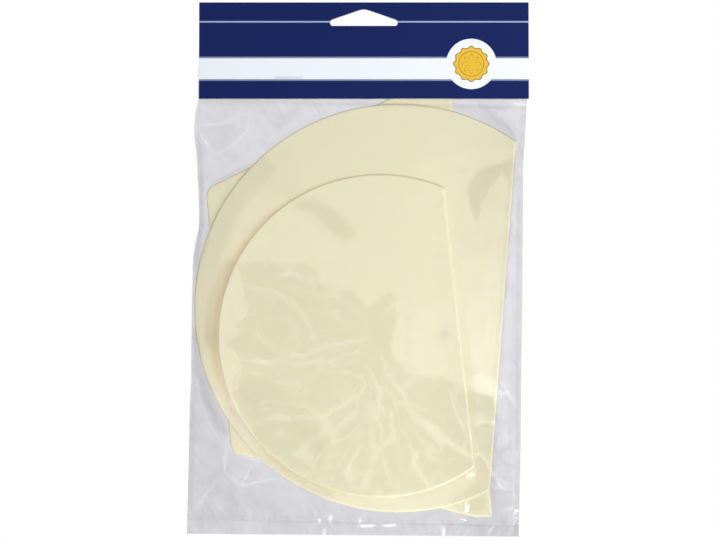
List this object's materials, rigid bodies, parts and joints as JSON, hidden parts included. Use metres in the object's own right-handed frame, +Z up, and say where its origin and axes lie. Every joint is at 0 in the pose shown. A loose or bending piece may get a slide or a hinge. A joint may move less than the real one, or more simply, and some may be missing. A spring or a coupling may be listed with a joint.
{
  "type": "icing smoother pack",
  "caption": "Flexible cream plastic icing smoothers, D-shaped and four-sided, in a clear bag stapled under a folded header card with a hang slot.",
  "frame": {"origin": "where a display peg bears: the middle of the hang slot's upper edge, at the pack's rear plane", "axes": "+Z up as the pack hangs, +X to the right seen from the front, the front faces -Y"},
  "size_m": [0.1643, 0.0072, 0.257],
  "materials": {
    "printed_card": "navy and white print, satin",
    "clear_film": "clear gloss",
    "staple_wire": "bright zinc",
    "cream_plastic": "smooth, slightly translucent"
  },
  "bodies": {
    "pack": {"header_card": "printed_card", "bag_front_film": "clear_film", "bag_back_film": "clear_film", "staple": "staple_wire"},
    "small_sheet": {"small_smoother": "cream_plastic"},
    "large_sheet": {"large_smoother": "cream_plastic"},
    "rear_sheet": {"rear_smoother": "cream_plastic"}
  },
  "joints": [
    {"name": "small_slide", "type": "slide", "parent": "pack", "child": "small_sheet", "axis": [0.0206, 0, 0.9998], "range_m": [-0.0123, 0.023]},
    {"name": "large_slide", "type": "slide", "parent": "pack", "child": "large_sheet", "axis": [0.0206, 0, 0.9998], "range_m": [-0.0053, 0.0034]},
    {"name": "rear_slide", "type": "slide", "parent": "pack", "child": "rear_sheet", "axis": [0.0206, 0, 0.9998], "range_m": [-0.0032, 0.0014]}
  ]
}
